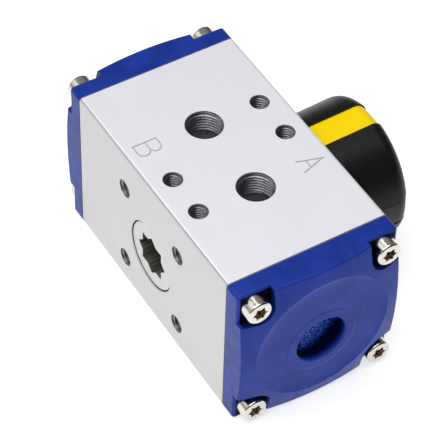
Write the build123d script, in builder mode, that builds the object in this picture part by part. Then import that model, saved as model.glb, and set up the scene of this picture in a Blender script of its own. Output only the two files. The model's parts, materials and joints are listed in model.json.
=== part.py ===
"""Double-acting rack-and-pinion pneumatic rotary actuator, size class 32, as an assembly of separate pieces.

Frame: the origin is where the drive axis meets the drive (valve) face. +Y runs along the drive shaft,
from the drive face through the housing to the position indicator. +X runs along the cylinder bore.
+Z points out of the air-port face. The actuator lies on its back face, at z = back_z.
"""
import os
from math import acos, cos, pi, radians, sin, sqrt, tan

from build123d import *

# ---------------------------------------------------------------- driving dimensions, millimetres
body_length = 70.0          # housing extrusion, along X
body_width = 44.5           # drive face to indicator face, along Y
top_z = 24.5                # air-port face
back_z = -20.7              # face that the actuator rests on
edge_round = 1.0            # the extrusion's long edges
bore_r = 16.0               # cylinder bore, along X
half_length = body_length / 2
body_height = top_z - back_z
mid_y = body_width / 2
mid_z = (top_z + back_z) / 2

# air-port face, interface of VDI/VDE 3845
port_x = 12.0               # each port from the drive axis
namur_x, namur_y = 24.0, 32.0
port_r = 9.728 / 2          # G 1/8 thread, major radius
port_depth_a = 7.0          # port A opens into the centre chamber
port_depth_b = 6.2          # port B stops above the bore and feeds the end chambers
port_lip = 0.1
passage_r = 2.2
gallery_r = 1.6
gallery_y = mid_y - 9.0
gallery_z = 20.3
m5_r = 2.5
m5_lip = 0.1
m5_depth = 7.5

# drive face, ISO 5211 F03 with a 9 mm double-square drive
f03_pcd = 36.0
star_flats = 9.0
star_corner_r = 6.3
star_depth = 10.0
star_relief_r = 4.4
pinion_recess = 0.4         # the pinion's end lies this far inside the drive face

# indicator face, bracket pattern
bracket_x, bracket_z = 50.0, 25.0

# stamped port letters
letter_height = 6.5
letter_width = 4.1
letter_stroke = 0.42
letter_depth = 0.25
letter_edge_y = 6.4         # letter's centre from the nearest long edge

# cap gaskets and end caps
gasket_thickness = 0.4
gasket_inset = 0.05
cap_x = half_length + gasket_thickness
pocket_floor_x = 40.0
pocket_width = 8.8          # corner pocket, along Y
pocket_height = 9.2         # corner pocket, along Z
pocket_round = 4.5
dome_r = 90.0
dome_top_x = 45.7
dish_r = 18.8               # round land that cuts the dome flat
dish_floor_r = 15.0
dish_floor_x = 43.4
boss_r = 9.3                # low ring round the central recess
boss_height = 0.12
boss_slope = 0.7            # width of the boss's sloping edge
recess_r = 6.85
recess_depth = 4.2
rim_round = 0.6
cap_edge_round = 0.7
cap_channel_depth = 2.0

# cap screws, M4 with a six-lobe socket
screw_pitch = (36.0, 36.6)  # along Y and Z, centred on the section
screw_head_r = 3.3
screw_head_height = 3.5
screw_head_round = 0.6
screw_r = 1.98
screw_hole_r = 2.0
screw_clear_r = 2.25
screw_length = 10.0
screw_tap_depth = 7.0
lobe_outer_r = 1.96
lobe_inner_r = 1.44
lobe_depth = 2.2

# pinion and rack teeth
module = 1.0
pinion_teeth = 16
pressure_angle = radians(20)
backlash = 0.12             # taken off each tooth
tooth_pitch = pi * module
pitch_r = module * pinion_teeth / 2
tip_r = pitch_r + module
root_r = pitch_r - 1.25 * module
base_r = pitch_r * cos(pressure_angle)
rack_addendum = 0.9 * module
rack_dedendum = 1.25 * module
stroke = pitch_r * pi / 2   # piston travel for a quarter turn

# shaft, from the drive end up
running_gap = 0.04          # seals, rings and pads to the bore that they run in
fit_gap = 0.05              # pieces that sit in each other
lower_hole_r = 9.6
lower_journal_r = 9.52
end_disc_r = 9.3            # the pinion's end, in front of the bearing ring
bearing_y = (0.85, 2.85)
bearing_groove_r = 8.5
lower_seal_y = (4.1, 5.9)
lower_seal_groove_r = 8.1
lower_journal_top = 7.3
shaft_neck_r = 8.6
gear_y = (13.25, 31.25)
upper_neck_r = 7.5
upper_wall_y = body_width - 6.25
upper_journal_r = 5.95
upper_bush_bore_r = 6.0
upper_bush_r = 8.0
upper_seal_y = (40.4, 42.0)
upper_seal_groove_r = 4.9
bush_flange_r = 9.2
bush_flange_y = body_width + 0.6
washer_y = (bush_flange_y + 0.12, bush_flange_y + 0.62)
washer_r = 8.6
clip_y = (washer_y[1] + 0.05, washer_y[1] + 1.05)
clip_groove_r = 5.3
clip_r = 7.4
flats_y = 47.2
shaft_top_y = 58.0
shaft_tap_depth = 10.0

# pistons
piston_gap = 0.15           # head to bore, radial
head_thickness = 7.0
head_outer_x = half_length - 0.7 - stroke
head_inner_x = head_outer_x - head_thickness
head_core_r = 9.0
head_core_depth = 2.5
guide_x = (head_inner_x + 1.2, head_inner_x + 2.8)
guide_groove_r = 15.0
seal_x = (head_inner_x + 4.0, head_inner_x + 5.8)
seal_groove_r = 14.4
rack_tip_x = -14.3
rack_width = 16.0
rack_back_r = 15.4
pad_x = (-9.5, -3.5)
pad_width = 10.0
pad_seat_r = 14.6

# position indicator
knob_base_y = 45.5
knob_base_r = 18.6
knob_shoulder_y = 61.4
knob_shoulder_r = 19.1
knob_corner_r = 3.7
knob_corner_turn = radians(66)
knob_top_y = 67.3
knob_wall = 1.4
hub_r = 8.8
hub_base_y = clip_y[1] + 0.6
insert_width = 7.6
insert_slot = 2.0           # slot floor below the knob's surface
strap_sink = 0.45           # strap's surface below the knob's surface
cover_sink = 0.15           # the same for the covers
knob_screw_head_r = 3.5
knob_screw_head = 1.9
knob_screw_length = 16.0
strap_hole_r = 3.75


# ---------------------------------------------------------------- helpers
def across(y):
    """Plane square to the shaft at y: local x is X, local y is Z, and its normal is -Y."""
    return Plane.XZ.offset(-y)


def along(x):
    """Plane square to the bore at x: local x is Y, local y is Z, and its normal is +X."""
    return Plane.YZ.offset(x)


def bore_plane(z=0.0):
    """Plane through an axis parallel to the bore at z: local x is X, local y is the radius."""
    return Plane(origin=(0, mid_y, z), x_dir=(1, 0, 0), z_dir=(0, 0, 1))


def bore_axis(z=0.0):
    return Axis((0, mid_y, z), (1, 0, 0))


def save(builder, name):
    """Labels a finished piece and writes it."""
    builder.part.label = name
    export_step(builder.part, f"parts/{name}.step")


def section_outline(inset=0.0):
    """The housing's rounded cross-section, for a sketch on an along() plane."""
    with Locations((mid_y, mid_z)):
        RectangleRounded(body_width - 2 * inset, body_height - 2 * inset, edge_round)


def corner_places(pitch_y, pitch_z):
    """Four places round the section's centre, for a sketch on an along() plane."""
    return [
        (mid_y + side_y * pitch_y / 2, mid_z + side_z * pitch_z / 2)
        for side_y in (-1, 1)
        for side_z in (-1, 1)
    ]


def shaft_ring(inner_r, outer_r, y0, y1, corner=0.0):
    """A ring about the shaft axis from y0 to y1."""
    with BuildPart() as ring:
        with BuildSketch(Plane.XY) as profile:
            with Locations(((inner_r + outer_r) / 2, (y0 + y1) / 2)):
                Rectangle(outer_r - inner_r, y1 - y0)
            if corner:
                fillet(profile.vertices(), corner)
        revolve(axis=Axis.Y)
    return ring


def bore_ring(inner_r, outer_r, x0, x1, corner):
    """A ring about the bore axis from x0 to x1."""
    with BuildPart() as ring:
        with BuildSketch(bore_plane()) as profile:
            with Locations(((x0 + x1) / 2, (inner_r + outer_r) / 2)):
                Rectangle(x1 - x0, outer_r - inner_r)
            fillet(profile.vertices(), corner)
        revolve(axis=bore_axis())
    return ring


def hole_tool(radius, depth, lip, point=0.0):
    """A cutting tool for a hole that goes down local -Z, with a chamfered mouth and a drill point."""
    with BuildPart() as tool:
        with BuildSketch(Plane.XZ):
            with BuildLine():
                Line((0, -depth - point), (0, 0.5))
                Polyline((0, 0.5), (radius + lip, 0.5), (radius + lip, 0), (radius, -lip), (radius, -depth))
                Line((radius, -depth), (0, -depth - point))
            make_face()
        revolve(axis=Axis.Z)
    return tool.part


# ---------------------------------------------------------------- housing
def letter_stroke_outline(*points, bowl_x=None):
    """One stroke of a letter: a polyline, or a bowl between two points that reaches bowl_x."""
    with BuildLine() as centre:
        if bowl_x is None:
            Polyline(*points)
        else:
            (start_x, low), (_, high) = points
            turn_x = bowl_x - (high - low) / 2
            Line((start_x, low), (turn_x, low))
            ThreePointArc((turn_x, low), (bowl_x, (low + high) / 2), (turn_x, high))
            Line((turn_x, high), (start_x, high))
    trace(centre.edges(), line_width=letter_stroke)


def letter_outline(letter):
    """A port letter for a sketch, from the lower left corner of its centre lines."""
    w, h = letter_width, letter_height
    if letter == "A":
        bar_y = 0.37 * h
        letter_stroke_outline((0, 0), (w / 2, h), (w, 0))
        letter_stroke_outline((0.19 * w, bar_y), (0.81 * w, bar_y))
    else:
        waist = 0.52 * h
        stem_x = -letter_stroke / 2
        letter_stroke_outline((0, 0), (0, h))
        letter_stroke_outline((stem_x, 0), (stem_x, waist), bowl_x=w)
        letter_stroke_outline((stem_x, waist), (stem_x, h), bowl_x=0.94 * w)


def letter_tool(letter, x, y):
    """A cutting tool for a letter stamped in the port face, centred at (x, y)."""
    corner = (x - letter_width / 2, y - letter_height / 2, top_z - letter_depth)
    with BuildPart() as tool:
        with BuildSketch(Plane(corner)):
            letter_outline(letter)
        extrude(amount=letter_depth + 0.5)
    return tool.part


def make_housing():
    m5_tool = hole_tool(m5_r, m5_depth, m5_lip, point=1.5)
    port_face = Plane((0, mid_y, top_z))
    drive_face = Plane(origin=(0, 0, 0), x_dir=(1, 0, 0), z_dir=(0, -1, 0))
    indicator_face = Plane(origin=(0, body_width, 0), x_dir=(1, 0, 0), z_dir=(0, 1, 0))

    with BuildPart() as housing:
        with BuildSketch(along(-half_length)):
            section_outline()
        extrude(amount=body_length)
        with BuildSketch(along(-half_length)):
            with Locations((mid_y, 0)):
                Circle(bore_r)
        extrude(amount=body_length, mode=Mode.SUBTRACT)

        # shaft holes through both walls
        with BuildSketch(across(0)):
            Circle(lower_hole_r)
        extrude(amount=-mid_y, mode=Mode.SUBTRACT)
        with BuildSketch(across(mid_y)):
            Circle(upper_bush_r)
        extrude(amount=-mid_y, mode=Mode.SUBTRACT)
        mouth = housing.edges().filter_by(GeomType.CIRCLE).filter_by_position(Axis.Y, -0.01, 0.01)
        chamfer(mouth, 0.2)

        # air ports: A opens into the centre chamber, B joins the gallery to both end chambers
        for x, depth in ((port_x, port_depth_a), (-port_x, port_depth_b)):
            with Locations(port_face * Location((x, 0, 0))):
                add(hole_tool(port_r, depth, port_lip), mode=Mode.SUBTRACT)
        with BuildSketch(Plane.XY.offset(top_z - port_depth_a)):
            with Locations((port_x, mid_y)):
                Circle(passage_r)
        extrude(amount=-port_depth_a, mode=Mode.SUBTRACT)
        with BuildSketch(along(-half_length)):
            with Locations((gallery_y, gallery_z)):
                Circle(gallery_r)
        extrude(amount=body_length, mode=Mode.SUBTRACT)
        with BuildSketch(across(gallery_y)):
            with Locations((-port_x, gallery_z)):
                Circle(gallery_r)
        extrude(amount=gallery_y - mid_y, mode=Mode.SUBTRACT)

        # M5 holes: two fixing and two coding holes beside the ports, four on each shaft face
        half_x, half_y = namur_x / 2, namur_y / 2
        places = [
            port_face * Location((x, y, 0))
            for x, y in ((-half_x, half_y), (half_x, -half_y), (0, half_y), (0, -half_y))
        ]
        f03 = f03_pcd / 2 * sin(radians(45))
        for face, x, z in ((drive_face, f03, f03), (indicator_face, bracket_x / 2, bracket_z / 2)):
            places += [face * Location((i * x, j * z, 0)) for i in (-1, 1) for j in (-1, 1)]
        for place in places:
            with Locations(place):
                add(m5_tool, mode=Mode.SUBTRACT)

        # tapped holes for the cap screws, from both ends
        for side in (-1, 1):
            with BuildSketch(along(side * half_length)):
                with Locations(corner_places(*screw_pitch)):
                    Circle(screw_hole_r)
            extrude(amount=-side * screw_tap_depth, mode=Mode.SUBTRACT)

        add(letter_tool("B", -port_x, letter_edge_y), mode=Mode.SUBTRACT)
        add(letter_tool("A", port_x, body_width - letter_edge_y), mode=Mode.SUBTRACT)
    save(housing, "housing")


# ---------------------------------------------------------------- end caps
def channel_outline(mode=Mode.ADD):
    """Slot that joins the housing's gallery to the end chamber, for a sketch on an along() plane."""
    with BuildLine() as centre:
        Line((gallery_y, gallery_z), (gallery_y + 3, 12))
    trace(centre.edges(), line_width=2 * gallery_r, mode=mode)
    with Locations((gallery_y, gallery_z)):
        Circle(gallery_r, mode=mode)


def pocket_tool():
    """A cutting tool for the four open corner pockets above the pocket floor."""
    reach = 3.0
    with BuildPart() as tool:
        places = corner_places(
            body_width - pocket_width + reach,
            body_height - pocket_height + reach,
        )
        for place in places:
            with BuildSketch(along(pocket_floor_x)) as plan:
                with Locations(place):
                    Rectangle(pocket_width + reach, pocket_height + reach)
                inner = plan.vertices().sort_by_distance((mid_y, mid_z, 0))[0]
                fillet(inner, pocket_round)
            extrude(amount=10)
    return tool.part


def dome_profile():
    """Half section of the cap's outer form: a dome cut by a round land with a soft edge."""
    centre_x = dome_top_x - dome_r
    rim_r = 36.0             # beyond the section's corners
    mid_r = (rim_r + dish_r) / 2
    rim, middle, dish = [(centre_x + sqrt(dome_r**2 - r**2), r) for r in (rim_r, mid_r, dish_r)]
    floor_edge = (dish_floor_x, dish_floor_r)
    with BuildLine() as outline:
        Polyline((dish_floor_x, 0), (cap_x - 1, 0), (cap_x - 1, rim_r), rim)
        ThreePointArc(rim, middle, dish)
        Spline(dish, floor_edge, tangents=((-0.25, -1), (0, -1)))
        Line(floor_edge, (dish_floor_x, 0))
    make_face(outline.edges())


def make_end_caps():
    face_x = dish_floor_x + boss_height
    with BuildPart() as cap:
        with BuildSketch(along(cap_x)):
            section_outline()
        extrude(amount=dome_top_x - cap_x)
        with BuildSketch(bore_plane(mid_z)):
            dome_profile()
        revolve(axis=bore_axis(mid_z), mode=Mode.INTERSECT)
        add(pocket_tool(), mode=Mode.SUBTRACT)

        # low boss with a sloping edge, then the blind recess with its rounded rim
        with BuildSketch(bore_plane()):
            with BuildLine():
                Polyline((face_x, 0), (face_x, boss_r), (dish_floor_x, boss_r + boss_slope))
                Polyline((dish_floor_x, boss_r + boss_slope), (dish_floor_x - 1, 0), (face_x, 0))
            make_face()
        revolve(axis=bore_axis())
        with BuildSketch(along(face_x)):
            with Locations((mid_y, 0)):
                Circle(recess_r)
        extrude(amount=-recess_depth, mode=Mode.SUBTRACT)
        rims = cap.edges().filter_by(GeomType.CIRCLE).filter_by_position(Axis.X, face_x - 0.01, face_x + 0.01)
        fillet(rims.sort_by(SortBy.LENGTH)[0], rim_round)

        # air channel in the inner face, and clearance holes for the screws
        with BuildSketch(along(cap_x)):
            channel_outline()
        extrude(amount=cap_channel_depth, mode=Mode.SUBTRACT)
        with BuildSketch(along(cap_x)):
            with Locations(corner_places(*screw_pitch)):
                Circle(screw_clear_r)
        extrude(amount=10, mode=Mode.SUBTRACT)

        # rounded edges where the dome and the pocket floors meet the sides
        outer = cap.edges().filter_by_position(Axis.X, pocket_floor_x - 0.01, dome_top_x)
        sides = [
            edge
            for edge in outer
            if min(abs(edge.center().Y - y) for y in (0, body_width)) < 0.05
            or min(abs(edge.center().Z - z) for z in (back_z, top_z)) < 0.05
        ]
        fillet([edge for edge in sides if edge.length > 2], cap_edge_round)
    save(cap, "end_cap_right")

    with BuildPart() as far_cap:
        add(cap.part)
        mirror(about=Plane.YZ, mode=Mode.REPLACE)
    save(far_cap, "end_cap_left")


def make_cap_gaskets():
    with BuildPart() as gasket:
        with BuildSketch(along(half_length)):
            section_outline(gasket_inset)
            with Locations((mid_y, 0)):
                Circle(bore_r, mode=Mode.SUBTRACT)
            channel_outline(Mode.SUBTRACT)
            with Locations(corner_places(*screw_pitch)):
                Circle(screw_clear_r, mode=Mode.SUBTRACT)
        extrude(amount=gasket_thickness)
    save(gasket, "cap_gasket_right")

    with BuildPart() as far_gasket:
        add(gasket.part)
        mirror(about=Plane.YZ, mode=Mode.REPLACE)
    save(far_gasket, "cap_gasket_left")


# ---------------------------------------------------------------- cap screws
def six_lobes():
    """Outline of a six-lobe socket."""
    points = []
    for step in range(12):
        angle = pi * step / 6
        radius = lobe_inner_r if step % 2 else lobe_outer_r
        points.append((radius * cos(angle), radius * sin(angle)))
    with BuildLine() as outline:
        Spline(*points, periodic=True)
    make_face(outline.edges())


def make_cap_screws():
    with BuildPart() as screw:
        with BuildSketch(Plane.XY):
            Circle(screw_head_r)
        extrude(amount=screw_head_height)
        fillet(screw.edges().group_by(Axis.Z)[-1], screw_head_round)
        with BuildSketch(Plane.XY):
            Circle(screw_r)
        extrude(amount=-screw_length)
        chamfer(screw.edges().group_by(Axis.Z)[0], 0.4)
        with BuildSketch(Plane.XY.offset(screw_head_height)):
            six_lobes()
        extrude(amount=-lobe_depth, mode=Mode.SUBTRACT)

    for side, name in ((1, "cap_screws_right"), (-1, "cap_screws_left")):
        with BuildPart() as group:
            for y, z in corner_places(*screw_pitch):
                seat = Plane(origin=(side * pocket_floor_x, y, z), x_dir=(0, 1, 0), z_dir=(side, 0, 0))
                with Locations(seat):
                    add(screw.part)
        save(group, name)


# ---------------------------------------------------------------- shaft
def star_outline():
    """The double-square drive: two squares at 45 degrees, their corners cut round."""
    Rectangle(star_flats, star_flats)
    Rectangle(star_flats, star_flats, rotation=45)
    Circle(star_corner_r, mode=Mode.INTERSECT)


def involute_point(radius, start_angle):
    """Point at this radius on the involute that leaves the base circle at start_angle."""
    roll = sqrt(radius**2 - base_r**2) / base_r
    angle = start_angle + roll - acos(base_r / radius)
    return radius * cos(angle), radius * sin(angle)


def tooth_outline(turn):
    """One pinion tooth with involute flanks, centred on local +Y and then turned."""
    half_angle = (tooth_pitch / 2 - backlash) / 2 / pitch_r
    start = -(half_angle + tan(pressure_angle) - pressure_angle)
    foot_r = root_r - 0.3
    radii = [base_r + (tip_r - base_r) * step / 5 for step in range(6)]
    flank = [involute_point(radius, start) for radius in radii]
    foot = (foot_r * cos(start), foot_r * sin(start))
    other_flank = [(x, -y) for x, y in reversed(flank)]
    other_foot = (foot[0], -foot[1])
    with BuildLine(Plane.XY.rotated((0, 0, 90 + turn))) as outline:
        Line(foot, flank[0])
        Spline(*flank)
        ThreePointArc(flank[-1], (tip_r, 0), other_flank[0])
        Spline(*other_flank)
        Polyline(other_flank[-1], other_foot, foot)
    make_face(outline.edges())


def make_pinion():
    journal, seal, neck = lower_journal_r, lower_seal_groove_r, shaft_neck_r
    upper, upper_groove = upper_journal_r, upper_seal_groove_r
    with BuildPart() as pinion:
        with BuildSketch(Plane.XY):
            with BuildLine():
                # drive end, with grooves for the bearing ring and the seal
                Polyline(
                    (0, pinion_recess),
                    (end_disc_r - 0.15, pinion_recess),
                    (end_disc_r, pinion_recess + 0.15),
                    (end_disc_r, bearing_y[0]),
                    (bearing_groove_r, bearing_y[0]),
                    (bearing_groove_r, bearing_y[1]),
                    (journal, bearing_y[1]),
                    (journal, lower_seal_y[0]),
                    (seal, lower_seal_y[0]),
                    (seal, lower_seal_y[1]),
                    (journal, lower_seal_y[1]),
                    (journal, lower_journal_top),
                )
                # body of the gear, then the step up to the top journal
                Polyline(
                    (journal, lower_journal_top),
                    (neck, lower_journal_top + journal - neck),
                    (neck, gear_y[0]),
                    (root_r, gear_y[0]),
                    (root_r, gear_y[1]),
                    (upper_neck_r, gear_y[1]),
                    (upper_neck_r, upper_wall_y - 0.5),
                    (upper, upper_wall_y),
                )
                # top journal, with grooves for the seal and the retaining ring
                Polyline(
                    (upper, upper_wall_y),
                    (upper, upper_seal_y[0]),
                    (upper_groove, upper_seal_y[0]),
                    (upper_groove, upper_seal_y[1]),
                    (upper, upper_seal_y[1]),
                    (upper, clip_y[0]),
                    (clip_groove_r, clip_y[0]),
                    (clip_groove_r, clip_y[1]),
                    (upper, clip_y[1]),
                    (upper, shaft_top_y - 0.4),
                    (upper - 0.4, shaft_top_y),
                    (0, shaft_top_y),
                    (0, pinion_recess),
                )
            make_face()
        revolve(axis=Axis.Y)

        with BuildSketch(across(gear_y[0])):
            for tooth in range(pinion_teeth):
                tooth_outline(360 * tooth / pinion_teeth)
        extrude(amount=gear_y[0] - gear_y[1])

        # double-square socket with a round relief behind it
        with BuildSketch(across(pinion_recess)):
            star_outline()
        extrude(amount=-star_depth, mode=Mode.SUBTRACT)
        with BuildSketch(across(pinion_recess)):
            Circle(star_relief_r)
        extrude(amount=-star_depth - 1.5, mode=Mode.SUBTRACT)

        # flats for the indicator, and the tapped hole for its screw
        with BuildSketch(across(flats_y)):
            for side in (-1, 1):
                with Locations((side * (star_flats / 2 + 2), 0)):
                    Rectangle(4, 20)
        extrude(amount=flats_y - shaft_top_y, mode=Mode.SUBTRACT)
        with BuildSketch(across(shaft_top_y)):
            Circle(screw_hole_r)
        extrude(amount=shaft_tap_depth, mode=Mode.SUBTRACT)
    save(pinion, "drive_pinion")


def make_shaft_rings():
    """Bearings, seals and the pieces that hold the shaft in."""
    bearing = shaft_ring(
        bearing_groove_r + fit_gap,
        lower_hole_r - running_gap,
        bearing_y[0] + fit_gap,
        bearing_y[1] - fit_gap,
        corner=0.15,
    )
    save(bearing, "lower_bearing_ring")

    lower_seal = shaft_ring(
        lower_seal_groove_r + fit_gap,
        lower_hole_r - running_gap,
        lower_seal_y[0] + 0.1,
        lower_seal_y[1] - 0.1,
        corner=0.6,
    )
    save(lower_seal, "lower_shaft_seal")

    upper_seal = shaft_ring(
        upper_seal_groove_r + fit_gap,
        upper_bush_bore_r - 0.03,
        upper_seal_y[0] + 0.1,
        upper_seal_y[1] - 0.1,
        corner=0.3,
    )
    save(upper_seal, "upper_shaft_seal")

    outer_r = upper_bush_r - 0.02
    with BuildPart() as bush:
        with BuildSketch(Plane.XY):
            with BuildLine():
                Polyline(
                    (upper_bush_bore_r, upper_wall_y),
                    (outer_r, upper_wall_y),
                    (outer_r, body_width),
                    (bush_flange_r, body_width),
                    (bush_flange_r, bush_flange_y),
                    (upper_bush_bore_r, bush_flange_y),
                    (upper_bush_bore_r, upper_wall_y),
                )
            make_face()
        revolve(axis=Axis.Y)
    save(bush, "upper_bush")

    save(shaft_ring(upper_journal_r + fit_gap, washer_r, *washer_y), "thrust_washer")

    # open retaining ring with two lugs
    lug_r = 1.0
    with BuildPart() as clip:
        with BuildSketch(across(clip_y[0] + fit_gap)):
            Circle(clip_r)
            with Locations((-1.5, clip_r), (1.5, clip_r)):
                Circle(lug_r)
            Circle(clip_groove_r + fit_gap, mode=Mode.SUBTRACT)
            with Locations((0, clip_r)):
                Rectangle(1.2, 6, mode=Mode.SUBTRACT)
            with Locations((-1.5, clip_r), (1.5, clip_r)):
                Circle(0.45 * lug_r, mode=Mode.SUBTRACT)
        extrude(amount=clip_y[0] - clip_y[1] + 2 * fit_gap)
    save(clip, "retaining_ring")


# ---------------------------------------------------------------- pistons
def rack_outline():
    """Section of a rack on an along() plane: a band above the tooth tips, round at the back."""
    low = pitch_r - rack_addendum
    with Locations((mid_y, 0)):
        Circle(rack_back_r)
    with Locations((mid_y, (low + rack_back_r) / 2)):
        Rectangle(rack_width, rack_back_r - low, mode=Mode.INTERSECT)


def tooth_space(x):
    """One tooth space of the rack, on an across() plane."""
    half = (tooth_pitch / 2 + backlash) / 2
    slope = tan(pressure_angle)
    above = rack_addendum + 0.5
    half_root = half - rack_dedendum * slope
    half_mouth = half + above * slope
    root_z = pitch_r + rack_dedendum
    mouth_z = pitch_r - above
    with BuildLine() as outline:
        Polyline(
            (x - half_root, root_z),
            (x + half_root, root_z),
            (x + half_mouth, mouth_z),
            (x - half_mouth, mouth_z),
            (x - half_root, root_z),
        )
    make_face(outline.edges())


def pad_outline(inner_r, outer_r, width):
    """Section of the pad behind a rack, on an along() plane."""
    with Locations((mid_y, 0)):
        Circle(outer_r)
        Circle(inner_r, mode=Mode.SUBTRACT)
    with Locations((mid_y, bore_r)):
        Rectangle(width, bore_r, mode=Mode.INTERSECT)


def make_pistons():
    """The right piston carries the upper rack. The left one is the same piece turned about the shaft."""
    with BuildPart() as piston:
        with BuildSketch(along(head_inner_x)):
            with Locations((mid_y, 0)):
                Circle(bore_r - piston_gap)
        extrude(amount=head_thickness)
        chamfer(piston.edges().group_by(Axis.X)[-1], 0.4)
        with BuildSketch(along(rack_tip_x)):
            rack_outline()
        extrude(amount=head_inner_x - rack_tip_x)

        # grooves for the guide ring and the seal
        for groove_x, groove_r in ((guide_x, guide_groove_r), (seal_x, seal_groove_r)):
            with BuildSketch(bore_plane()):
                with Locations((sum(groove_x) / 2, (groove_r + bore_r) / 2)):
                    Rectangle(groove_x[1] - groove_x[0], bore_r - groove_r)
            revolve(axis=bore_axis(), mode=Mode.SUBTRACT)

        # tooth spaces, one of them over the shaft at rest
        with BuildSketch(across(mid_y - rack_width)):
            for place in range(-4, 2):
                tooth_space(place * tooth_pitch)
        extrude(amount=-2 * rack_width, mode=Mode.SUBTRACT)

        # seat for the pad behind the rack, and a core pocket in the head
        with BuildSketch(along(pad_x[0])):
            pad_outline(pad_seat_r, bore_r, pad_width)
        extrude(amount=pad_x[1] - pad_x[0], mode=Mode.SUBTRACT)
        with BuildSketch(along(head_outer_x)):
            with Locations((mid_y, 0)):
                Circle(head_core_r)
        extrude(amount=-head_core_depth, mode=Mode.SUBTRACT)

    with BuildPart() as pad:
        with BuildSketch(along(pad_x[0] + fit_gap)):
            pad_outline(pad_seat_r + fit_gap, bore_r - running_gap, pad_width - 2 * fit_gap)
        extrude(amount=pad_x[1] - pad_x[0] - 2 * fit_gap)

    seal = bore_ring(
        seal_groove_r + fit_gap,
        bore_r - running_gap,
        seal_x[0] + 0.1,
        seal_x[1] - 0.1,
        corner=0.55,
    )
    guide = bore_ring(
        guide_groove_r + fit_gap,
        bore_r - running_gap,
        guide_x[0] + fit_gap,
        guide_x[1] - fit_gap,
        corner=0.1,
    )

    pieces = {"piston": piston, "rack_pad": pad, "piston_seal": seal, "piston_guide_ring": guide}
    for name, piece in pieces.items():
        save(piece, f"{name}_right")
        with BuildPart() as turned:
            add(piece.part.rotate(Axis.Y, 180))
        save(turned, f"{name}_left")


# ---------------------------------------------------------------- position indicator
def knob_profile(sink=0.0):
    """Half section of the knob, sink below its surface: a flared side, a round corner and a dome."""
    base_r = knob_base_r - sink
    shoulder_r = knob_shoulder_r - sink
    corner_r = knob_corner_r - sink
    top_y = knob_top_y - sink
    corner_x = shoulder_r - corner_r
    turn = knob_corner_turn
    half = (corner_x + corner_r * cos(turn / 2), knob_shoulder_y + corner_r * sin(turn / 2))
    end = (corner_x + corner_r * cos(turn), knob_shoulder_y + corner_r * sin(turn))
    with BuildLine() as outline:
        Polyline((0, top_y), (0, knob_base_y), (base_r, knob_base_y), (shoulder_r, knob_shoulder_y))
        ThreePointArc((shoulder_r, knob_shoulder_y), half, end)
        Spline(end, (0, top_y), tangents=((-sin(turn), cos(turn)), (-1, 0)))
    make_face(outline.edges())


def knob_solid(sink):
    with BuildPart() as solid:
        with BuildSketch(Plane.XY):
            knob_profile(sink)
        revolve(axis=Axis.Y)
    return solid.part


def knob_skin(outer_sink, inner_sink, size_x, size_z):
    """The part of the knob's skin between two depths, within a bar across the knob."""
    height = knob_top_y - knob_base_y + 4
    with BuildPart() as skin:
        with Locations((0, knob_base_y + height / 2 - 2, 0)):
            Box(size_x, height, size_z)
        add(knob_solid(outer_sink), mode=Mode.INTERSECT)
        add(knob_solid(inner_sink), mode=Mode.SUBTRACT)
    return skin.part


def make_indicator():
    """Black domed knob with a yellow strap over the top and black covers on the other two sides."""
    reach = 60.0
    slot_width = insert_width + 2 * fit_gap
    seat_y = knob_top_y - insert_slot

    with BuildPart() as hollow:
        add(knob_solid(insert_slot + knob_wall))
        with BuildSketch(across(hub_base_y)):
            Circle(hub_r)
        extrude(amount=-reach, mode=Mode.SUBTRACT)

    with BuildPart() as dome:
        add(knob_solid(0))
        fillet(dome.edges().group_by(Axis.Y)[0], 0.3)
        add(hollow.part, mode=Mode.SUBTRACT)
        for size_x, size_z in ((slot_width, reach), (reach, slot_width)):
            add(knob_skin(-1, insert_slot, size_x, size_z), mode=Mode.SUBTRACT)
        with BuildSketch(across(knob_base_y)):
            Circle(upper_journal_r + fit_gap)
            Rectangle(star_flats + 2 * fit_gap, reach, mode=Mode.INTERSECT)
        extrude(amount=knob_base_y - shaft_top_y - 0.2, mode=Mode.SUBTRACT)
        with BuildSketch(across(shaft_top_y)):
            Circle(screw_clear_r)
        extrude(amount=-reach, mode=Mode.SUBTRACT)
    save(dome, "indicator_dome")

    with BuildPart() as strap:
        add(knob_skin(strap_sink, insert_slot - fit_gap, insert_width, reach))
        with BuildSketch(across(seat_y - 1)):
            Circle(strap_hole_r)
        extrude(amount=-5, mode=Mode.SUBTRACT)
    save(strap, "indicator_yellow_strap")

    with BuildPart() as covers:
        add(knob_skin(cover_sink, insert_slot - fit_gap, reach, insert_width))
        with Locations((0, seat_y, 0)):
            Box(insert_width + 2 * fit_gap, 2 * reach, reach, mode=Mode.SUBTRACT)
    save(covers, "indicator_black_covers")

    with BuildPart() as screw:
        with BuildSketch(across(seat_y)):
            Circle(knob_screw_head_r)
        extrude(amount=-knob_screw_head)
        fillet(screw.edges().group_by(Axis.Y)[-1], screw_head_round)
        with BuildSketch(across(seat_y)):
            Circle(screw_r)
        extrude(amount=knob_screw_length)
        with BuildSketch(across(seat_y + knob_screw_head)):
            six_lobes()
        extrude(amount=0.7 * knob_screw_head, mode=Mode.SUBTRACT)
    save(screw, "indicator_screw")


os.makedirs("parts", exist_ok=True)
make_housing()
make_end_caps()
make_cap_gaskets()
make_cap_screws()
make_pinion()
make_shaft_rings()
make_pistons()
make_indicator()
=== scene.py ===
"""Looks of a rack-and-pinion rotary actuator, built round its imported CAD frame.

Units are metres. +X runs along the cylinder bore, +Y along the drive shaft towards the indicator
knob, and +Z out of the face with the air ports. The actuator lies on its back face.
"""

import json
from math import cos, radians, sin, sqrt, tau

import bpy
from mathutils import Matrix, Vector


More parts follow.
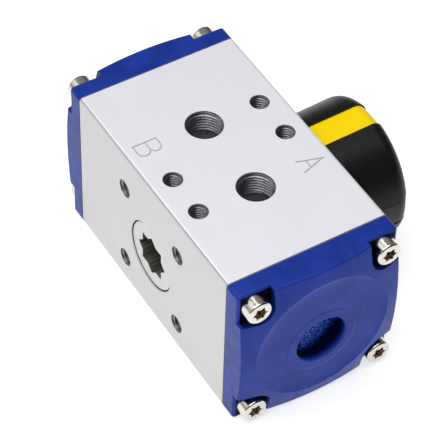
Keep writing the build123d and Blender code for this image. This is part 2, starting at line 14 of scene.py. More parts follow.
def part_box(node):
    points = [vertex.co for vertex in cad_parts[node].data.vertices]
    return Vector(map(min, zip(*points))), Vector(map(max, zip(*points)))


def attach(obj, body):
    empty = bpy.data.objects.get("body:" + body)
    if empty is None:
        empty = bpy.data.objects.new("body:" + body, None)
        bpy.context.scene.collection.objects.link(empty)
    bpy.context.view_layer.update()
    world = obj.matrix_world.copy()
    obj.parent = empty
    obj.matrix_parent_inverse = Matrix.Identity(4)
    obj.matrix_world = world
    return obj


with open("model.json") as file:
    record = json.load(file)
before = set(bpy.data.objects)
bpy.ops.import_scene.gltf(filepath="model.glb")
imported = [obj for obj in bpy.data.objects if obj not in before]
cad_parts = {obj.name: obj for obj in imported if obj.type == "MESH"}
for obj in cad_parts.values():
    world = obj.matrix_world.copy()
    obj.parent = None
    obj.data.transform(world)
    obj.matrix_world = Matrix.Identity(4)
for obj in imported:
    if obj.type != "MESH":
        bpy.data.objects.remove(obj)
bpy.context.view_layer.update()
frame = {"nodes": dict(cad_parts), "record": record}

MM = 0.001
record = frame["record"]
mounts = {mount["name"]: mount for mount in record["mounts"]}
housing_low, housing_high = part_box("housing")
housing_mid = (housing_low + housing_high) / 2

# ---------------------------------------------------------------- camera, light and floor: values
CAMERA_AZIMUTH = radians(57.36)
CAMERA_ELEVATION = radians(47.70)
CAMERA_ROLL = radians(1.92)
CAMERA_PLACE = Vector((0.3311, -0.1913, 0.4348))
CAMERA_LENS = 189.6
SENSOR_WIDTH = 36.0

LIGHT_TARGET = (0, 0.02, 0)
HORIZON_HEIGHT, ZENITH_HEIGHT = 0.18, 0.95   # on the unit sphere: the sky brightens between them
HORIZON_LIGHT, ZENITH_LIGHT = 0.07, 0.34
DARK_CARD = Vector((0.75, 0.33, 0.57))       # direction of a black card, seen only in polished edges
DARK_CARD_EDGE = (0.66, 0.84)                # its soft edge, as cosines of the angle from its middle
DARK_CARD_SHARE = 0.03                       # the sky's strength inside the card
LIGHT_CARD = Vector((-0.62, -0.70, 0.36))    # a white card, for the sides of the screw heads
LIGHT_CARD_EDGE = (0.80, 0.92)
LIGHT_CARD_SHARE = 5.0
FLOOR_REACH = 4.0
FLOOR_GLOW = 0.62

# ---------------------------------------------------------------- threads: sizes
M5_PITCH = 0.8 * MM
M5_MINOR_R = 2.07 * MM
M5_DEPTH = 7.3 * MM                          # a thread ends this far below its face
M5_LIP = 0.1 * MM                            # a thread starts this far below its face
M5_THREAD_STEPS = 40
PORT_PITCH = 0.907 * MM
PORT_MINOR_R = 4.283 * MM
PORT_LIP = 0.1 * MM
PORT_THREAD_STEPS = 72
THREAD_CLEARANCE = 0.01 * MM                 # between a thread's sleeve and the wall of its hole
THREAD_ROOT_WALL = 0.02 * MM                 # the sleeve's thickness at the thread's root
THREAD_ROWS_PER_TURN = 8
THREAD_FLAT = 1 / 7                          # the flat at the crest and at the root, as a share of the pitch

# ---------------------------------------------------------------- finishes: where each one starts and ends
SKIN = 0.35 * MM                             # housing surfaces deeper than this are painted near black, as painted shade inside the holes
LETTER_SKIN = 0.12 * MM                      # deeper than this, down to SKIN, is the floor of a port letter
DRIVE_FACE_SKIN = 0.3 * MM
STAR_R = 6.4 * MM
STAR_RIM = 0.12 * MM
RECESS_R = 6.95 * MM
RECESS_RIM = 0.9 * MM                        # from the cap's highest point down to the recess's wall
RECESS_FLOOR = 3.92 * MM                     # from the cap's inner face to the floor of its recess
RECESS_WALL_START = (0.3 * MM, 0.5 * MM)     # above the recess floor
RECESS_WALL_DARK = 2.5 * MM                  # painted shade: the wall is darkest up to this height
RECESS_SHADOW_REACH = (0.925 * MM, 5.925 * MM)       # painted shadow: the floor darkens towards +Y and -Z between these distances
RECESS_GRAIN_DEPTH = 0.25 * MM
POCKET_Y = 8.8 * MM
POCKET_Z = 9.2 * MM
POCKET_FLOOR = 4.6 * MM                      # from the cap's inner face to the seat of a screw head
POCKET_SHADE = (0.3 * MM, 3.4 * MM)          # above the pocket floor: full shade, no shade
POCKET_SKIN = 0.8 * MM                       # the cap's outer sides keep their colour down to this depth
CHIP_REACH = 9.0 * MM                        # chips get rarer up to this height above the foot
COVER_EDGE = 0.45 * MM
SCREW_HEAD_R = 3.3 * MM
SOCKET_R = 2.05 * MM
SOCKET_RIM = 0.08 * MM
FAR = 1.0                                    # well past the object on every side
SPECIAL_FINISHES = {
    "cap_gasket_right": "gasket_sheet",
    "cap_gasket_left": "gasket_sheet",
    "indicator_black_covers": "cover_plastic",
}


# ---------------------------------------------------------------- camera, light and floor
def make_camera():
    """A long lens, set by its azimuth, elevation and roll."""
    azimuth, elevation = CAMERA_AZIMUTH, CAMERA_ELEVATION
    level = Vector((cos(azimuth), sin(azimuth), 0))
    forward = Vector((-sin(azimuth) * cos(elevation), cos(azimuth) * cos(elevation), -sin(elevation)))
    right = cos(CAMERA_ROLL) * level + sin(CAMERA_ROLL) * level.cross(forward)
    up = right.cross(forward)
    data = bpy.data.cameras.new("camera")
    data.sensor_width = SENSOR_WIDTH
    data.lens = CAMERA_LENS
    data.clip_start = 0.01
    data.clip_end = 20
    camera = bpy.data.objects.new("camera", data)
    turn = Matrix((right, up, -forward)).transposed().to_4x4()
    camera.matrix_world = Matrix.Translation(CAMERA_PLACE) @ turn
    bpy.context.scene.collection.objects.link(camera)
    bpy.context.scene.camera = camera


def make_area_light(name, place, size, power, colour, glossy=True):
    """A rectangular light aimed at LIGHT_TARGET. Without glossy it doesn't show in reflections."""
    data = bpy.data.lights.new(name, "AREA")
    data.shape = "RECTANGLE"
    data.size, data.size_y = size
    data.energy = power
    data.color = colour
    light = bpy.data.objects.new(name, data)
    light.location = place
    light.visible_glossy = glossy
    light.rotation_euler = (Vector(LIGHT_TARGET) - Vector(place)).to_track_quat("-Z", "Y").to_euler()
    bpy.context.scene.collection.objects.link(light)


def make_lights():
    """A large soft light overhead, a weak one in front, and one for the near cap, unseen in the screws."""
    make_area_light("overhead", place=(0.05, -0.1, 0.75), size=(0.8, 0.8), power=5.9,
                    colour=(0.965, 0.955, 1.0))
    make_area_light("front_fill", place=(0.35, -0.8, 0.35), size=(0.7, 0.5), power=0.2,
                    colour=(1.0, 0.99, 0.97))
    make_area_light("cap_fill", place=(0.95, 0.15, 0.2), size=(0.5, 0.5), power=1.2,
                    colour=(0.94, 0.96, 1.0), glossy=False)


def card_strength(tree, direction, card, edge, share):
    """The sky's strength: 1 outside the card, changing to share across the card's soft edge."""
    facing = tree.nodes.new("ShaderNodeVectorMath")
    facing.operation = "DOT_PRODUCT"
    facing.inputs[1].default_value = card.normalized()
    tree.links.new(direction, facing.inputs[0])
    strength = tree.nodes.new("ShaderNodeMapRange")
    for socket, value in zip(("From Min", "From Max", "To Min", "To Max"), (*edge, 1, share)):
        strength.inputs[socket].default_value = value
    tree.links.new(facing.outputs["Value"], strength.inputs["Value"])
    return strength.outputs["Result"]


def make_world():
    """A grey sky that brightens upwards, with a black card and a white card in it."""
    world = bpy.data.worlds.new("studio")
    world.use_nodes = True
    tree = world.node_tree
    background = tree.nodes["Background"]
    direction = tree.nodes.new("ShaderNodeTexCoord").outputs["Generated"]
    parts = tree.nodes.new("ShaderNodeSeparateXYZ")
    tree.links.new(direction, parts.inputs[0])
    sky = tree.nodes.new("ShaderNodeValToRGB")
    horizon, zenith = sky.color_ramp.elements
    horizon.position, zenith.position = HORIZON_HEIGHT, ZENITH_HEIGHT
    horizon.color = (HORIZON_LIGHT, HORIZON_LIGHT, HORIZON_LIGHT, 1)
    zenith.color = (ZENITH_LIGHT, ZENITH_LIGHT, ZENITH_LIGHT, 1)
    tree.links.new(parts.outputs["Z"], sky.inputs["Fac"])
    tree.links.new(sky.outputs["Color"], background.inputs["Color"])
    both = tree.nodes.new("ShaderNodeMath")
    both.operation = "MULTIPLY"
    dark = card_strength(tree, direction, DARK_CARD, DARK_CARD_EDGE, DARK_CARD_SHARE)
    light = card_strength(tree, direction, LIGHT_CARD, LIGHT_CARD_EDGE, LIGHT_CARD_SHARE)
    tree.links.new(dark, both.inputs[0])
    tree.links.new(light, both.inputs[1])
    tree.links.new(both.outputs[0], background.inputs["Strength"])
    bpy.context.scene.world = world


def make_floor():
    """A plain pale floor under the back face."""
    signs = ((-1, -1), (1, -1), (1, 1), (-1, 1))
    corners = [(x * FLOOR_REACH, y * FLOOR_REACH, housing_low.z) for x, y in signs]
    mesh = bpy.data.meshes.new("floor")
    mesh.from_pydata(corners, [], [(0, 1, 2, 3)])
    floor = bpy.data.objects.new("floor", mesh)
    bpy.context.scene.collection.objects.link(floor)
    shader = Shader("studio_floor", colour=(0.6, 0.6, 0.6), roughness=0.9)
    shader.set("Emission Color", (1, 1, 1, 1))
    shader.set("Emission Strength", FLOOR_GLOW)
    mesh.materials.append(shader.material)


# ---------------------------------------------------------------- material tools
class Shader:
    """A Principled material with a few helpers for procedural detail, in object space.

    A factor, height or colour is the output socket of another node. Where a method says so, it may be a
    number or a colour instead."""

    def __init__(self, name, colour, roughness, metallic=0.0):
        self.material = bpy.data.materials.new(name)
        self.material.use_nodes = True
        self.nodes = self.material.node_tree.nodes
        self.links = self.material.node_tree.links
        self.bsdf = self.nodes["Principled BSDF"]
        self.place = self.nodes.new("ShaderNodeTexCoord").outputs["Object"]
        self.set("Base Color", (*colour, 1))
        self.set("Roughness", roughness)
        self.set("Metallic", metallic)

    def set(self, socket, value):
        self.bsdf.inputs[socket].default_value = value

    def link(self, output, socket):
        self.links.new(output, self.bsdf.inputs[socket])

    def stretched(self, scale):
        """Object coordinates multiplied by scale along X, Y and Z."""
        mapping = self.nodes.new("ShaderNodeMapping")
        mapping.inputs["Scale"].default_value = scale
        self.links.new(self.place, mapping.inputs["Vector"])
        return mapping.outputs["Vector"]

    def noise(self, scale, detail=3.0, rough=0.5, stretch=None):
        """Noise from 0 to 1. Scale is in cells per metre, and stretch multiplies it along each axis."""
        node = self.nodes.new("ShaderNodeTexNoise")
        node.inputs["Scale"].default_value = scale
        node.inputs["Detail"].default_value = detail
        node.inputs["Roughness"].default_value = rough
        source = self.stretched(stretch) if stretch else self.place
        self.links.new(source, node.inputs["Vector"])
        return node.outputs["Fac"]

    def ramp(self, factor, first, second, start=0.3, end=0.7):
        """Goes from first to second, colours or greys, as the factor goes from start to end."""
        node = self.nodes.new("ShaderNodeValToRGB")
        for element, position, value in zip(node.color_ramp.elements, (start, end), (first, second)):
            element.position = position
            element.color = (*value, 1) if isinstance(value, tuple) else (value, value, value, 1)
        self.links.new(factor, node.inputs["Fac"])
        return node.outputs["Color"]

    def mix(self, share, first, second, blend="MIX"):
        """Share of second over first. The share is a socket or a number; the others, sockets or colours."""
        node = self.nodes.new("ShaderNodeMix")
        node.data_type = "RGBA"
        node.blend_type = blend
        for socket, value in ((node.inputs[0], share), (node.inputs[6], first), (node.inputs[7], second)):
            if isinstance(value, bpy.types.NodeSocket):
                self.links.new(value, socket)
            elif isinstance(value, tuple):
                socket.default_value = (*value, 1)
            else:
                socket.default_value = value
        return node.outputs[2]

    def vector(self, operation, first, second=None):
        """A vector maths node; first is a socket and second a constant vector."""
        node = self.nodes.new("ShaderNodeVectorMath")
        node.operation = operation
        self.links.new(first, node.inputs[0])
        if second is not None:
            node.inputs[1].default_value = second
        return node.outputs["Value" if operation in ("LENGTH", "DOT_PRODUCT") else "Vector"]

    def combine(self, operation, first, second):
        """A maths node; each input is a socket or a number."""
        node = self.nodes.new("ShaderNodeMath")
        node.operation = operation
        for socket, value in zip(node.inputs, (first, second)):
            if isinstance(value, bpy.types.NodeSocket):
                self.links.new(value, socket)
            else:
                socket.default_value = value
        return node.outputs[0]

    def within_box(self, low, high):
        """Mask: 1 inside a box."""
        offset = self.vector("SUBTRACT", self.place, (Vector(low) + Vector(high)) / 2)
        share = self.vector("ABSOLUTE", self.vector("DIVIDE", offset, (Vector(high) - Vector(low)) / 2))
        parts = self.nodes.new("ShaderNodeSeparateXYZ")
        self.links.new(share, parts.inputs[0])
        largest = self.combine("MAXIMUM", parts.outputs[0], parts.outputs[1])
        return self.combine("LESS_THAN", self.combine("MAXIMUM", largest, parts.outputs[2]), 1.0)

    def within_radius(self, radius, centre, across, spread=(0, 0, 0)):
        """Mask: 1 near the axes that lie spread away on each side of centre; across picks the radial axes."""
        offset = self.vector("ABSOLUTE", self.vector("SUBTRACT", self.place, centre))
        radial = self.vector("MULTIPLY", self.vector("SUBTRACT", offset, spread), across)
        return self.combine("LESS_THAN", self.vector("LENGTH", radial), radius)

    def fade(self, factor, start, end, low=0.0, high=1.0):
        """A clamped straight ramp from low at start to high at end."""
        node = self.nodes.new("ShaderNodeMapRange")
        for socket, value in zip(("From Min", "From Max", "To Min", "To Max"), (start, end, low, high)):
            node.inputs[socket].default_value = value
        self.links.new(factor, node.inputs["Value"])
        return node.outputs["Result"]

    def along(self, direction):
        """How far the point lies along a direction."""
        return self.vector("DOT_PRODUCT", self.place, direction)

    def away(self, axis):
        """The point's distance from the origin, measured along one axis on either side."""
        return self.vector("LENGTH", self.vector("MULTIPLY", self.place, axis))

    def bump(self, height, distance, strength=0.5):
        """Adds a bump on top of any earlier one."""
        node = self.nodes.new("ShaderNodeBump")
        node.inputs["Distance"].default_value = distance
        node.inputs["Strength"].default_value = strength
        self.links.new(height, node.inputs["Height"])
        normal = self.bsdf.inputs["Normal"]
        if normal.is_linked:
            self.links.new(normal.links[0].from_socket, node.inputs["Normal"])
        self.links.new(node.outputs["Normal"], normal)


# ---------------------------------------------------------------- metals
def anodised_aluminium():
    """Satin clear-anodised extrusion with very faint draw lines along X. The letters' floors are darker, the
    drive face is painted darker and greyer as shade, and inside the holes the metal is painted near black as
    shade."""
    shader = Shader("anodised_aluminium", colour=(0.82, 0.82, 0.84), roughness=0.42, metallic=0.3)
    draw_lines = shader.noise(scale=1.0, detail=4.0, rough=0.6, stretch=(14, 1900, 1900))
    streaks = shader.ramp(draw_lines, (0.87, 0.87, 0.905), (0.90, 0.90, 0.935))
    blotches = shader.ramp(shader.noise(scale=70, detail=2.0), (0.86, 0.86, 0.895), (0.91, 0.91, 0.945))
    skin = shader.mix(share=0.4, first=streaks, second=blotches)

    letters = shader.within_box((-FAR, -FAR, housing_high.z - SKIN), (FAR, FAR, housing_high.z - LETTER_SKIN))
    skin = shader.mix(letters, skin, (0.56, 0.56, 0.58))
    # painted shade: the drive face is painted darker and greyer than the other faces; the fade below is 0 on
    # that face and 1 elsewhere
    drive_face_y = housing_low.y + DRIVE_FACE_SKIN
    anodised = shader.fade(shader.along((0, 1, 0)), drive_face_y, drive_face_y + DRIVE_FACE_SKIN)
    drive_face_shade = shader.mix(1.0, skin, (0.71, 0.705, 0.68), blend="MULTIPLY")
    skin = shader.mix(anodised, drive_face_shade, skin)

    # painted shade: deeper than SKIN, inside the holes, the metal is painted near black
    depth = Vector((SKIN, SKIN, SKIN))
    hole_shade = shader.within_box(housing_low + depth, housing_high - depth)
    hole_shade_colour = shader.ramp(shader.noise(scale=900), (0.035, 0.035, 0.038), (0.075, 0.075, 0.08))
    shader.link(shader.mix(hole_shade, skin, hole_shade_colour), "Base Color")
    shader.link(shader.ramp(draw_lines, 0.39, 0.45, start=0.25, end=0.75), "Roughness")
    shader.bump(draw_lines, 0.002 * MM, strength=0.25)
    shader.bump(shader.noise(scale=5200, detail=2.0), 0.004 * MM)
    return shader.material


def shaded_thread():
    """Threads in aluminium, painted dark grey as the shade deep inside the holes, with chatter marks."""
    shader = Shader("shaded_thread", colour=(0.22, 0.22, 0.23), roughness=0.34, metallic=0.95)
    shader.link(shader.ramp(shader.noise(scale=1200), (0.16, 0.16, 0.17), (0.34, 0.34, 0.35)), "Base Color")
    shader.link(shader.ramp(shader.noise(scale=2500), 0.28, 0.45), "Roughness")
    shader.bump(shader.noise(scale=3500, detail=2.0), 0.01 * MM)
    return shader.material


def polished_steel():
    """Bright cap screws; their six-lobe sockets are painted dark brown as the shade deep in them, with golden
    specks as painted glints.
    """
    shader = Shader("stainless_steel", colour=(0.84, 0.79, 0.71), roughness=0.16, metallic=1.0)
    low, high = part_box("cap_screws_right")
    centre = (0, (low.y + high.y) / 2, (low.z + high.z) / 2)
    spread = (0, (high.y - low.y) / 2 - SCREW_HEAD_R, (high.z - low.z) / 2 - SCREW_HEAD_R)
    top_x = high.x - SOCKET_RIM
    below = shader.within_box((-top_x, -FAR, -FAR), (top_x, FAR, FAR))
    near_axis = shader.within_radius(SOCKET_R, centre, (0, 1, 1), spread)
    socket = shader.combine("MULTIPLY", below, near_axis)
    grain = shader.noise(scale=900, detail=4.0)
    bright = shader.ramp(grain, (0.66, 0.62, 0.55), (0.76, 0.72, 0.65))
    # painted shade in the sockets: dark brown, with golden specks as painted glints
    socket_shade_and_glints = shader.ramp(shader.noise(scale=1600), (0.07, 0.05, 0.03), (0.70, 0.54, 0.34), start=0.40, end=0.60)
    shader.link(shader.fade(socket, 0.0, 1.0, low=1.0, high=0.5), "Metallic")
    shader.link(shader.mix(socket, bright, socket_shade_and_glints), "Base Color")
    shader.link(shader.ramp(grain, 0.13, 0.24), "Roughness")
    shader.bump(shader.noise(scale=1500), 0.008 * MM, strength=0.6)
    return shader.material


def nickel_steel():
    """Plated shaft end; its star socket is painted darker and brownish inside, as the shade deep in it, with
    broach lines.
    """
    shader = Shader("nickel_plated_steel", colour=(0.72, 0.72, 0.71), roughness=0.38, metallic=0.8)
    inner_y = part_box("drive_pinion")[0].y + STAR_RIM
    behind = shader.within_box((-FAR, inner_y, -FAR), (FAR, FAR, FAR))
    socket = shader.combine("MULTIPLY", behind, shader.within_radius(STAR_R, (0, 0, 0), (1, 0, 1)))
    grain = shader.noise(scale=500, detail=4.0)
    plated = shader.ramp(grain, (0.56, 0.56, 0.55), (0.62, 0.62, 0.61))
    broach_lines = shader.noise(scale=1.0, detail=4.0, stretch=(1500, 90, 1500))
    # painted shade inside the star socket, with real broach lines
    star_socket_shade_and_broaching = shader.ramp(broach_lines, (0.14, 0.13, 0.115), (0.42, 0.40, 0.36))
    shader.link(shader.mix(socket, plated, star_socket_shade_and_broaching), "Base Color")
    shader.link(shader.ramp(grain, 0.32, 0.46), "Roughness")
    shader.bump(shader.noise(scale=3000, detail=2.0), 0.006 * MM)
    return shader.material


def spring_steel():
    """Blackened spring steel."""
    shader = Shader("spring_steel", colour=(0.12, 0.12, 0.13), roughness=0.35, metallic=1.0)
    shader.link(shader.ramp(shader.noise(scale=800, detail=4.0), 0.28, 0.5), "Roughness")
    return shader.material


def cast_aluminium():
    """Bare die-cast pistons."""
    shader = Shader("cast_aluminium", colour=(0.62, 0.63, 0.65), roughness=0.45, metallic=0.9)
    shader.link(shader.ramp(shader.noise(scale=400, detail=4.0), 0.38, 0.6), "Roughness")
    shader.bump(shader.noise(scale=1800), 0.03 * MM)
    return shader.material


# ---------------------------------------------------------------- the caps' coating
def pocket_shade(shader):
    """Mask for painted shade: 1 on the floors of the corner pockets round the screw heads, fading upwards to
    0.
    """
    inner_y = housing_high.y - housing_mid.y - POCKET_Y
    inner_z = housing_high.z - housing_mid.z - POCKET_Z
    column = shader.within_box((-FAR, housing_mid.y - inner_y, -FAR), (FAR, housing_mid.y + inner_y, FAR))
    row = shader.within_box((-FAR, -FAR, housing_mid.z - inner_z), (FAR, FAR, housing_mid.z + inner_z))
    corner = shader.combine("SUBTRACT", 1.0, shader.combine("MAXIMUM", column, row))
    inward = shader.within_box((-FAR, housing_low.y + POCKET_SKIN, housing_low.z + POCKET_SKIN),
                               (FAR, housing_high.y - POCKET_SKIN, housing_high.z - POCKET_SKIN))
    floor_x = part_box("end_cap_right")[0].x + POCKET_FLOOR
    dark, clear = POCKET_SHADE
    height = shader.fade(shader.away((1, 0, 0)), floor_x + dark, floor_x + clear, low=1.0, high=0.0)
    return shader.combine("MULTIPLY", shader.combine("MULTIPLY", corner, inward), height)


def recess_mask(shader):
    """Mask: 1 inside the round recess of each cap."""
    rim_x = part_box("end_cap_right")[1].x - RECESS_RIM
    deep = shader.within_box((-rim_x, housing_low.y, housing_low.z), (rim_x, housing_high.y, housing_high.z))
    return shader.combine("MULTIPLY", deep, shader.within_radius(RECESS_R, (0, housing_mid.y, 0), (0, 1, 1)))


def recess_colour(shader, grain):
    """The recess: its wall is painted dark as shade, darkest towards a bright, grainy floor, and a painted
    shadow darkens the floor on one side.
    """
    low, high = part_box("end_cap_right")
    floor_x = low.x + RECESS_FLOOR
    lit = shader.ramp(grain, (0.004, 0.012, 0.13), (0.07, 0.19, 0.85), start=0.44, end=0.58)
    sideways = Vector((0, 0.7, -0.7))
    middle = sideways.y * housing_mid.y
    shadow_start, shadow_end = RECESS_SHADOW_REACH
    # painted shadow of the recess wall on the floor
    wall_shadow = shader.fade(shader.along(sideways), middle + shadow_start, middle + shadow_end)
    floor = shader.mix(wall_shadow, lit, (0.002, 0.005, 0.05))
    length = shader.away((1, 0, 0))
    # painted shade on the recess wall, darkest near the floor
    height = shader.fade(length, floor_x + RECESS_WALL_DARK, high.x - RECESS_RIM)
    wall = shader.mix(height, (0.001, 0.003, 0.03), (0.007, 0.03, 0.25))
    wall_start, wall_full = RECESS_WALL_START
    return shader.mix(shader.fade(length, floor_x + wall_start, floor_x + wall_full), floor, wall)


def blue_coating():
    """Satin blue coating over a die casting: orange peel, rub marks, and chips near the foot. The corner
    pockets and the recess are painted dark as shade, and the recess floor is grainy, with a painted shadow on
    one side."""
    shader = Shader("blue_coated_aluminium", colour=(0.012, 0.040, 0.30), roughness=0.36)
    cloud = shader.ramp(shader.noise(scale=120), (0.006, 0.029, 0.25), (0.012, 0.041, 0.315),
                        start=0.35, end=0.65)
    scuffs = shader.noise(scale=1.0, detail=5.0, rough=0.65, stretch=(60, 420, 70))
    coat = shader.mix(shader.ramp(scuffs, 0.0, 0.3, start=0.58, end=0.75), cloud, (0.040, 0.090, 0.44))

    specks = shader.ramp(shader.noise(scale=2300, detail=2.0), 0.0, 0.8, start=0.66, end=0.72)
    foot = shader.fade(shader.along((0, 0, 1)), housing_low.z + CHIP_REACH, housing_low.z)
    coat = shader.mix(shader.combine("MULTIPLY", foot, specks), coat, (0.35, 0.40, 0.60))

    pocket = pocket_shade(shader)
    # painted shade: the pocket floors are painted near black, fading out upwards
    coat = shader.mix(pocket, coat, (0.0008, 0.0016, 0.010))
    recess = recess_mask(shader)
    grain = shader.noise(scale=1300, rough=0.7)
    shader.link(shader.mix(recess, coat, recess_colour(shader, grain)), "Base Color")
    # less specular where the shade is painted
    sheltered = shader.combine("MAXIMUM", pocket, recess)
    shader.link(shader.fade(sheltered, 0.0, 1.0, low=0.17, high=0.04), "Specular IOR Level")
    shader.link(shader.ramp(shader.noise(scale=300, detail=4.0), 0.31, 0.43), "Roughness")
    shader.bump(shader.noise(scale=900, detail=2.0), 0.02 * MM)
    shader.bump(shader.noise(scale=4000, detail=2.0), 0.006 * MM)
    shader.bump(shader.combine("MULTIPLY", recess, grain), RECESS_GRAIN_DEPTH, strength=1.0)
    return shader.material


# ---------------------------------------------------------------- plastics, rubber and gasket
def bearing_plastic():
    """Natural acetal."""
    shader = Shader("bearing_plastic", colour=(0.80, 0.78, 0.70), roughness=0.45)
    shader.link(shader.ramp(shader.noise(scale=600), 0.4, 0.55), "Roughness")
    shader.bump(shader.noise(scale=2500, detail=2.0), 0.01 * MM)
    return shader.material


def black_rubber():
    """Matt rubber of the seals."""
    shader = Shader("black_rubber", colour=(0.02, 0.02, 0.02), roughness=0.7)
    shader.bump(shader.noise(scale=2500, detail=2.0), 0.02 * MM)
    return shader.material


def gasket_sheet():
    """Compressed fibre sheet, blue grey, with short fibres."""
    shader = Shader("gasket_sheet", colour=(0.10, 0.11, 0.17), roughness=0.8)
    fibres = shader.noise(scale=1800, detail=4.0)
    shader.link(shader.ramp(fibres, (0.06, 0.07, 0.12), (0.15, 0.16, 0.23)), "Base Color")
    shader.bump(shader.noise(scale=2500, detail=2.0), 0.02 * MM)
    return shader.material


def black_plastic():
    """Satin moulded plastic with a fine spark-eroded grain."""
    shader = Shader("black_plastic", colour=(0.0065, 0.0065, 0.006), roughness=0.34)
    shader.set("Specular IOR Level", 0.2)
    shader.link(shader.ramp(shader.noise(scale=500, detail=4.0), 0.30, 0.40), "Roughness")
    shader.bump(shader.noise(scale=6000, detail=2.0), 0.01 * MM, strength=0.6)
    return shader.material


def cover_plastic():
    """The slot covers: the same kind of plastic, a little greyer, near black and without specular along both
    edges.
    """
    shader = Shader("cover_plastic", colour=(0.012, 0.012, 0.011), roughness=0.42)
    half_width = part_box("indicator_black_covers")[1].z
    edge = shader.fade(shader.away((0, 0, 1)), half_width - COVER_EDGE, half_width - COVER_EDGE / 3)
    worn = shader.ramp(shader.noise(scale=400, detail=4.0), (0.009, 0.009, 0.008), (0.016, 0.016, 0.015))
    shader.link(shader.mix(edge, worn, (0.0005, 0.0005, 0.0005)), "Base Color")
    shader.link(shader.fade(edge, 0.0, 1.0, low=0.25, high=0.0), "Specular IOR Level")
    shader.bump(shader.noise(scale=6000, detail=2.0), 0.01 * MM, strength=0.6)
    return shader.material


def yellow_plastic():
    """The strap: satin moulded plastic."""
    shader = Shader("yellow_plastic", colour=(0.95, 0.68, 0.001), roughness=0.38)
    shader.set("Specular IOR Level", 0.14)
    shader.link(shader.ramp(shader.noise(scale=500, detail=4.0), 0.32, 0.44), "Roughness")
    shader.bump(shader.noise(scale=5000, detail=2.0), 0.008 * MM, strength=0.6)
    return shader.material


def make_materials():
    """Every material, by the name of its slot or of its special finish."""
    return {
        "gasket_sheet": gasket_sheet(),
        "anodised_aluminium": anodised_aluminium(),
        "blue_coated_aluminium": blue_coating(),
        "stainless_steel": polished_steel(),
        "nickel_plated_steel": nickel_steel(),
        "spring_steel": spring_steel(),
        "cast_aluminium": cast_aluminium(),
        "bearing_plastic": bearing_plastic(),
        "black_rubber": black_rubber(),
        "black_plastic": black_plastic(),
        "yellow_plastic": yellow_plastic(),
        "shaded_thread": shaded_thread(),
        "cover_plastic": cover_plastic(),
    }


def dress_nodes(materials):
    """Gives every CAD node its special finish, or else the material of its slot in the record."""
    for subpart in record["subparts"]:
        mesh = frame["nodes"][subpart["node"]].data
        mesh.materials.clear()
        name = SPECIAL_FINISHES.get(subpart["node"], subpart["material_slot"])
        mesh.materials.append(materials[name])


# ---------------------------------------------------------------- threads
def thread_depth(phase):
    """Share of the thread's depth at a phase of one turn: 0 at the crest, 1 at the root."""
    return min(1.0, max(0.0, (abs(2 * phase - 1) - THREAD_FLAT) / (1 - 2 * THREAD_FLAT)))


def circle_point(radius, turn, z):
    """A point on a circle round Z; turn is a share of a whole turn."""
    return (radius * cos(tau * turn), radius * sin(tau * turn), z)


def thread_mesh(name, major_r, minor_r, pitch, length, steps, material):
    """A closed sleeve with a helical inner thread, from the mouth at z = 0 down to z = -length. The thread
    grows to its full height over the first turn."""
    wall_r = major_r - THREAD_CLEARANCE
    root_r = wall_r - THREAD_ROOT_WALL
    rows = round(length / pitch * THREAD_ROWS_PER_TURN)
    points = []
    for row in range(rows + 1):
        turns = row / THREAD_ROWS_PER_TURN
        crest_r = root_r + (minor_r - root_r) * min(1.0, turns)
        for step in range(steps):
            radius = crest_r + (root_r - crest_r) * thread_depth((turns + step / steps) % 1)
            points.append(circle_point(radius, step / steps, -length * row / rows))
    for z in (-length, 0):
        points += [circle_point(wall_r, step / steps, z) for step in range(steps)]
    rings = rows + 3
    faces = []
    for ring in range(rings):
        here, there = ring * steps, (ring + 1) % rings * steps
        for step in range(steps):
            after = (step + 1) % steps
            faces.append((here + step, here + after, there + after, there + step))
    mesh = bpy.data.meshes.new(name)
    mesh.from_pydata(points, [], faces)
    mesh.shade_smooth()
    mesh.materials.append(material)
    return mesh


def place_thread(name, mesh, mouth, outward):
    """Puts a thread in a hole: mouth is its upper end, outward the normal of the hole's face."""
    piece = bpy.data.objects.new(name, mesh)
    bpy.context.scene.collection.objects.link(piece)
    turn = Vector(outward).to_track_quat("Z", "Y").to_matrix().to_4x4()
    piece.matrix_world = Matrix.Translation(mouth) @ turn
    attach(piece, "housing")


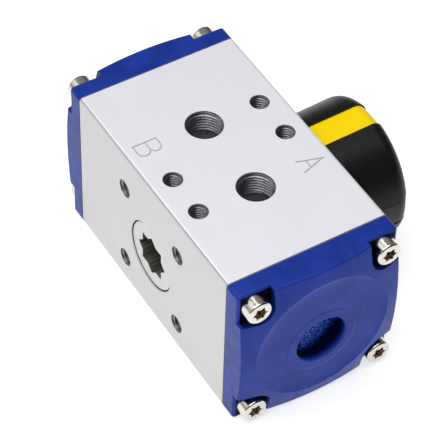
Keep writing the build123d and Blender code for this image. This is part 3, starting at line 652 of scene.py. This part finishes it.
def make_port_threads(material):
    """One G 1/8 thread in each air port, as long as the port's mount says."""
    for port in ("air_port_a", "air_port_b"):
        name = port + "_thread"
        x, y, _ = mounts[port]["pos_m"]
        major_r = mounts[port]["dims"]["r_mm"] * MM
        length = mounts[port]["dims"]["length_mm"] * MM - PORT_LIP
        mesh = thread_mesh(name, major_r, PORT_MINOR_R, PORT_PITCH, length, PORT_THREAD_STEPS, material)
        place_thread(name, mesh, Vector((x, y, housing_high.z - PORT_LIP)), (0, 0, 1))


def m5_holes():
    """The centre on the face and the outward direction of every M5 hole, worked out from the mounts."""
    fixing, coding = mounts["namur_fixing"], mounts["namur_coding"]
    half_y = coding["dims"]["spacing_y_mm"] * MM / 2
    half_x = sqrt((fixing["dims"]["pcd_mm"] * MM / 2) ** 2 - half_y**2)
    port_face = Vector(fixing["pos_m"])
    holes = [(port_face + Vector((x, y, 0)), Vector((0, 0, 1)))
             for x, y in ((-half_x, half_y), (0, half_y), (half_x, -half_y), (0, -half_y))]
    flange = mounts["f03_flange"]["dims"]["pcd_mm"] * MM / 2 * sin(radians(45))
    bracket = mounts["indicator_bracket"]["dims"]
    bracket_x, bracket_z = bracket["spacing_x_mm"] * MM / 2, bracket["spacing_y_mm"] * MM / 2
    for side_x in (-1, 1):
        for side_z in (-1, 1):
            drive_hole = Vector((side_x * flange, housing_low.y, side_z * flange))
            knob_hole = Vector((side_x * bracket_x, housing_high.y, side_z * bracket_z))
            holes += [(drive_hole, Vector((0, -1, 0))), (knob_hole, Vector((0, 1, 0)))]
    return holes


def make_m5_threads(material):
    """The M5 threads are all alike, so they share one mesh."""
    major_r = mounts["f03_flange"]["dims"]["hole_r_mm"] * MM
    length = M5_DEPTH - M5_LIP
    mesh = thread_mesh("m5_thread", major_r, M5_MINOR_R, M5_PITCH, length, M5_THREAD_STEPS, material)
    for number, (centre, outward) in enumerate(m5_holes(), start=1):
        place_thread(f"m5_thread_{number}", mesh, centre - outward * M5_LIP, outward)


# ---------------------------------------------------------------- the scene
bpy.context.scene.view_settings.view_transform = "Standard"
make_camera()
make_lights()
make_world()
make_floor()
materials = make_materials()
dress_nodes(materials)
make_port_threads(materials["shaded_thread"])
make_m5_threads(materials["shaded_thread"])
